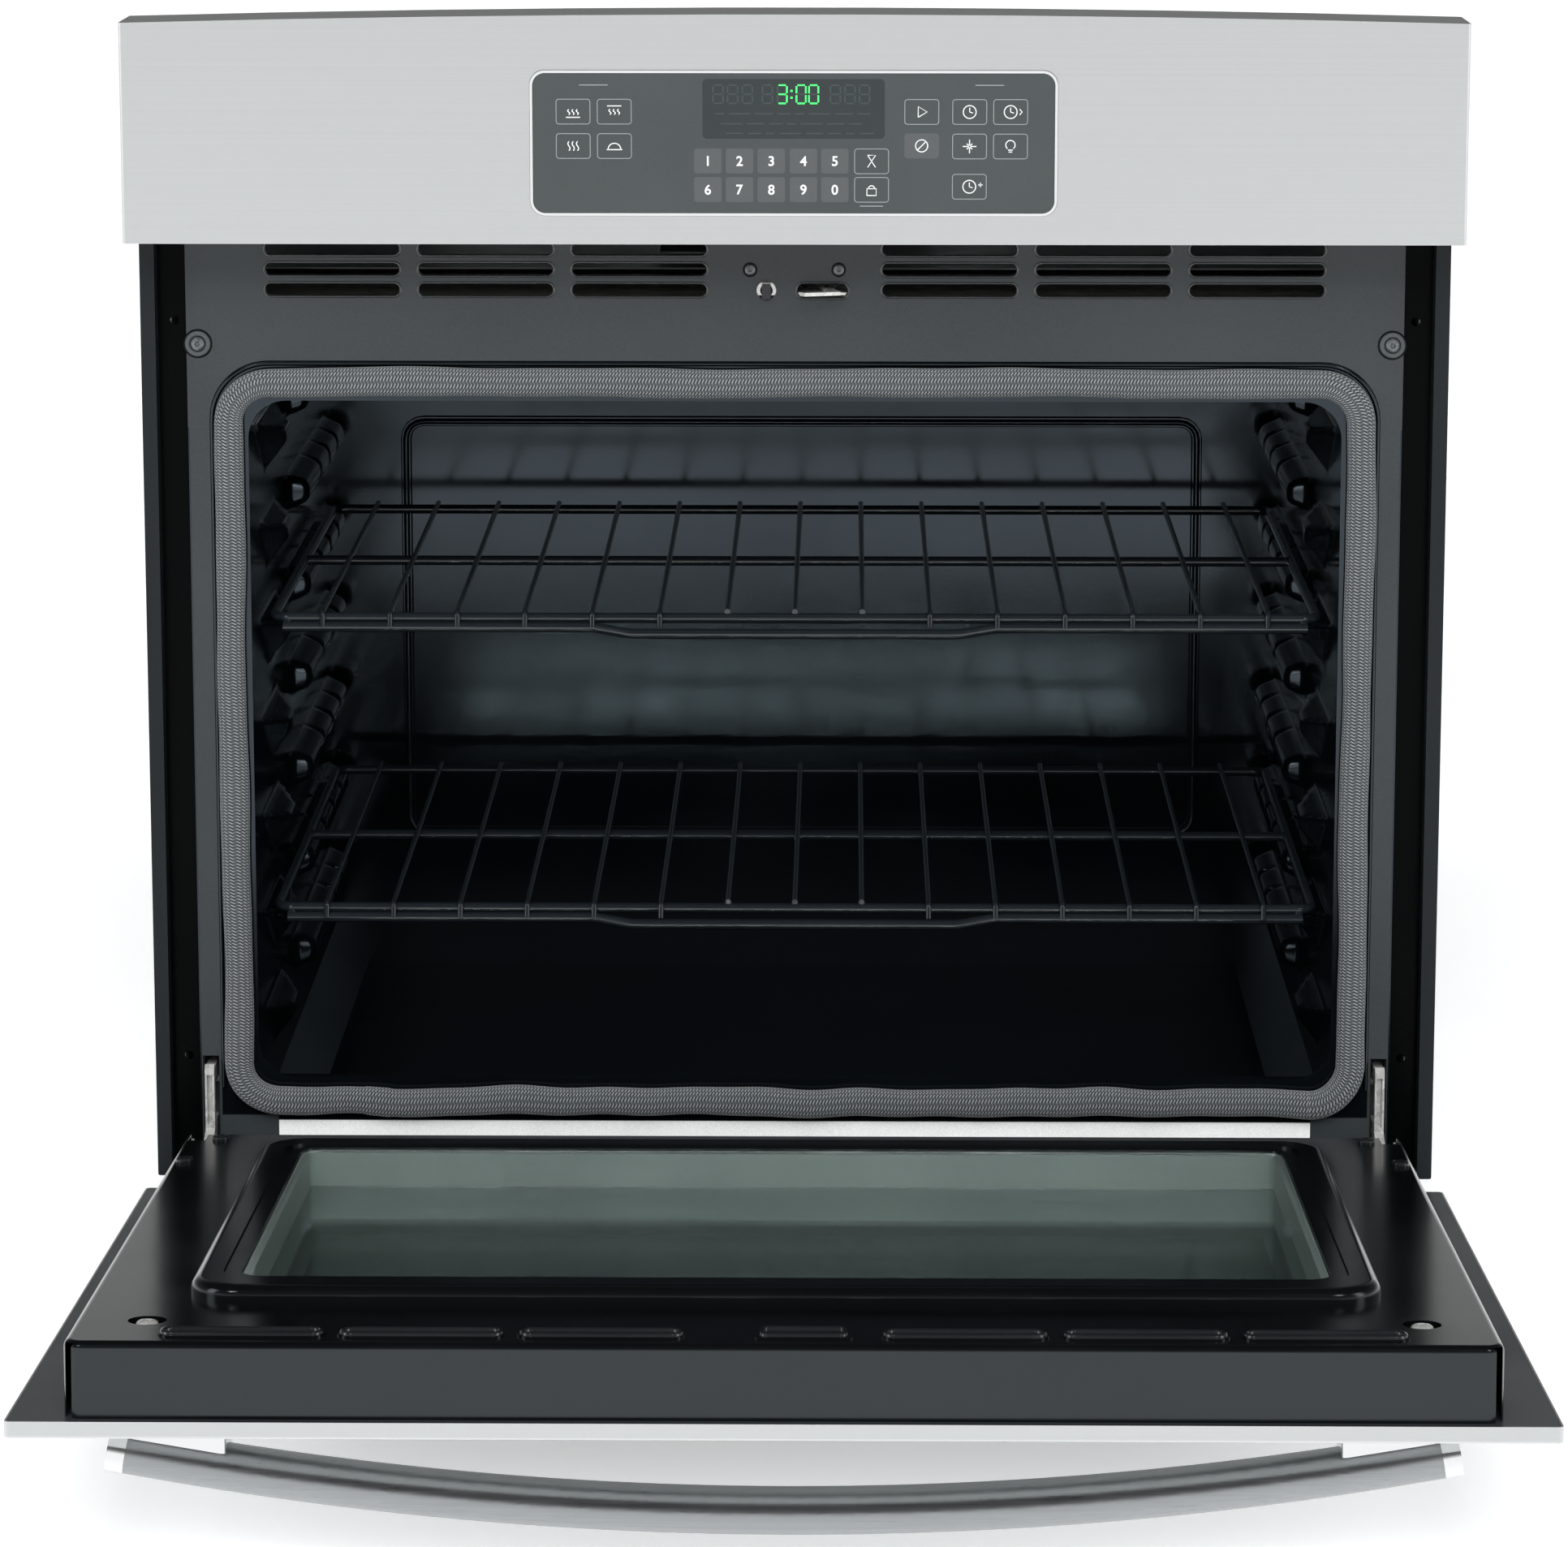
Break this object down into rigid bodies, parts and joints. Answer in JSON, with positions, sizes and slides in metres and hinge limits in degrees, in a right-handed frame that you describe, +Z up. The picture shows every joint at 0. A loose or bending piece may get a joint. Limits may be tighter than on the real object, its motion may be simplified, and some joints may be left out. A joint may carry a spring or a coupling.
{
  "type": "built-in wall oven",
  "caption": "Built-in single electric wall oven: boxed chassis, enamelled cavity with wire racks, drop-down glazed door with bowed bar handle and flat glass control panel.",
  "frame": {"origin": "centre of the chassis underside, where the oven rests on the cabinet shelf", "axes": "+X to the right seen from the front, +Y back into the cabinet, +Z up"},
  "size_m": [0.7556, 1.1587, 0.7269],
  "materials": {
    "galvanised_sheet": "satin",
    "stainless_front": "brushed",
    "frame_enamel": "satin",
    "cavity_enamel": "gloss",
    "trim_paint": "satin",
    "bright_steel": "satin",
    "polished_metal": "polished",
    "bright_bezel": "polished",
    "control_glass": "gloss",
    "circuit_board": "matt",
    "display": "gloss",
    "mineral_wool": "matt",
    "heating_rod": "satin",
    "rack_steel": "gloss",
    "gasket_braid": "woven",
    "ceramic": "matt",
    "lamp_glass": "gloss",
    "fan_metal": "satin",
    "motor_black": "satin",
    "zinc_steel": "satin",
    "switch_plastic": "matt",
    "screw_black": "satin",
    "spring_steel": "satin",
    "door_glass": "gloss",
    "dark_glass": "gloss",
    "brushed_bar": "brushed"
  },
  "bodies": {
    "chassis": {"base_pan": "galvanised_sheet", "side_panels": "galvanised_sheet", "rear_panel": "galvanised_sheet", "top_cover": "galvanised_sheet", "front_frame": "frame_enamel", "sill_plate": "bright_steel", "side_flanges": "cavity_enamel", "side_trims": "trim_paint", "bottom_trim": "stainless_front", "control_fascia": "stainless_front", "control_bezel": "bright_bezel", "control_glass": "control_glass", "display_module": "display", "circuit_boards": "circuit_board", "control_tray": "galvanised_sheet", "cavity_flange": "cavity_enamel", "cavity_side_walls": "cavity_enamel", "cavity_rear_wall": "cavity_enamel", "cavity_ceiling": "cavity_enamel", "cavity_floor": "cavity_enamel", "insulation_blanket": "mineral_wool", "bake_element": "heating_rod", "broil_element": "heating_rod", "temperature_sensor": "zinc_steel", "lamp_socket": "ceramic", "oven_lamp": "lamp_glass", "lamp_lens": "lamp_glass", "door_gasket": "gasket_braid", "fan_housing": "galvanised_sheet", "fan_motor": "motor_black", "air_deck": "galvanised_sheet", "terminal_box": "galvanised_sheet", "latch_bracket": "zinc_steel", "latch_motor": "motor_black", "switch_body": "switch_plastic", "switch_bracket": "zinc_steel", "frame_screws": "screw_black", "hinge_arms": "zinc_steel", "hinge_receivers": "galvanised_sheet"},
    "door": {"hinge_bodies": "zinc_steel", "hinge_pins": "zinc_steel", "counter_springs": "spring_steel", "door_skin": "stainless_front", "door_frame": "frame_enamel", "door_liner": "cavity_enamel", "door_glass_inner": "door_glass", "door_glass_outer": "dark_glass", "window_box": "galvanised_sheet", "door_insulation": "mineral_wool", "handle_bar": "brushed_bar", "handle_end_caps": "polished_metal", "handle_standoffs": "polished_metal", "door_screws": "screw_black"},
    "rack_upper": {"upper_rack": "rack_steel"},
    "rack_lower": {"lower_rack": "rack_steel"},
    "fan_wheel": {"fan_rotor": "fan_metal"},
    "lock_arm": {"latch_hook": "zinc_steel"},
    "lock_cam": {"latch_cam": "switch_plastic"},
    "door_switch_pin": {"switch_plunger": "switch_plastic"},
    "spring_links": {"spring_rods": "zinc_steel"}
  },
  "joints": [
    {"name": "door_hinge", "type": "hinge", "parent": "chassis", "child": "door", "pos_m": [0, -0.3315, 0.03], "axis": [-1, 0, 0], "range_deg": [0, 85.4], "stiffness_Nm_per_rad": 9, "springref_deg": 85.4},
    {"name": "upper_rack_slide", "type": "slide", "parent": "chassis", "child": "rack_upper", "axis": [0, 1, 0], "range_m": [-0.3, 0]},
    {"name": "lower_rack_slide", "type": "slide", "parent": "chassis", "child": "rack_lower", "axis": [0, 1, 0], "range_m": [-0.3, 0]},
    {"name": "lock_cam_turn", "type": "hinge", "parent": "chassis", "child": "lock_cam", "pos_m": [-0.026, -0.215, 0.552], "axis": [0, 0, 1], "range_deg": [0, 180]},
    {"name": "lock_arm_turn", "type": "hinge", "parent": "chassis", "child": "lock_arm", "pos_m": [0.014, -0.235, 0.548], "axis": [0, 0, -1], "range_deg": [0, 14.6]},
    {"name": "switch_press", "type": "slide", "parent": "chassis", "child": "door_switch_pin", "axis": [0, 1, 0], "range_m": [0, 0.004], "stiffness_N_per_m": 300, "springref_m": -0.003},
    {"name": "fan_spin", "type": "hinge", "parent": "chassis", "child": "fan_wheel", "pos_m": [0, 0.04, 0.58], "axis": [0, 0, 1], "continuous": true},
    {"name": "spring_rod_slide", "type": "slide", "parent": "door", "child": "spring_links", "axis": [0, -0.9968, 0.0802], "range_m": [0, 0.012], "deforming": ["counter_springs"]}
  ],
  "couplings": [
    {"joint": "lock_arm_turn", "follows": "lock_cam_turn", "ratio": 0.081111},
    {"joint": "spring_rod_slide", "follows": "door_hinge", "m_per_rad": 0.0080509}
  ]
}
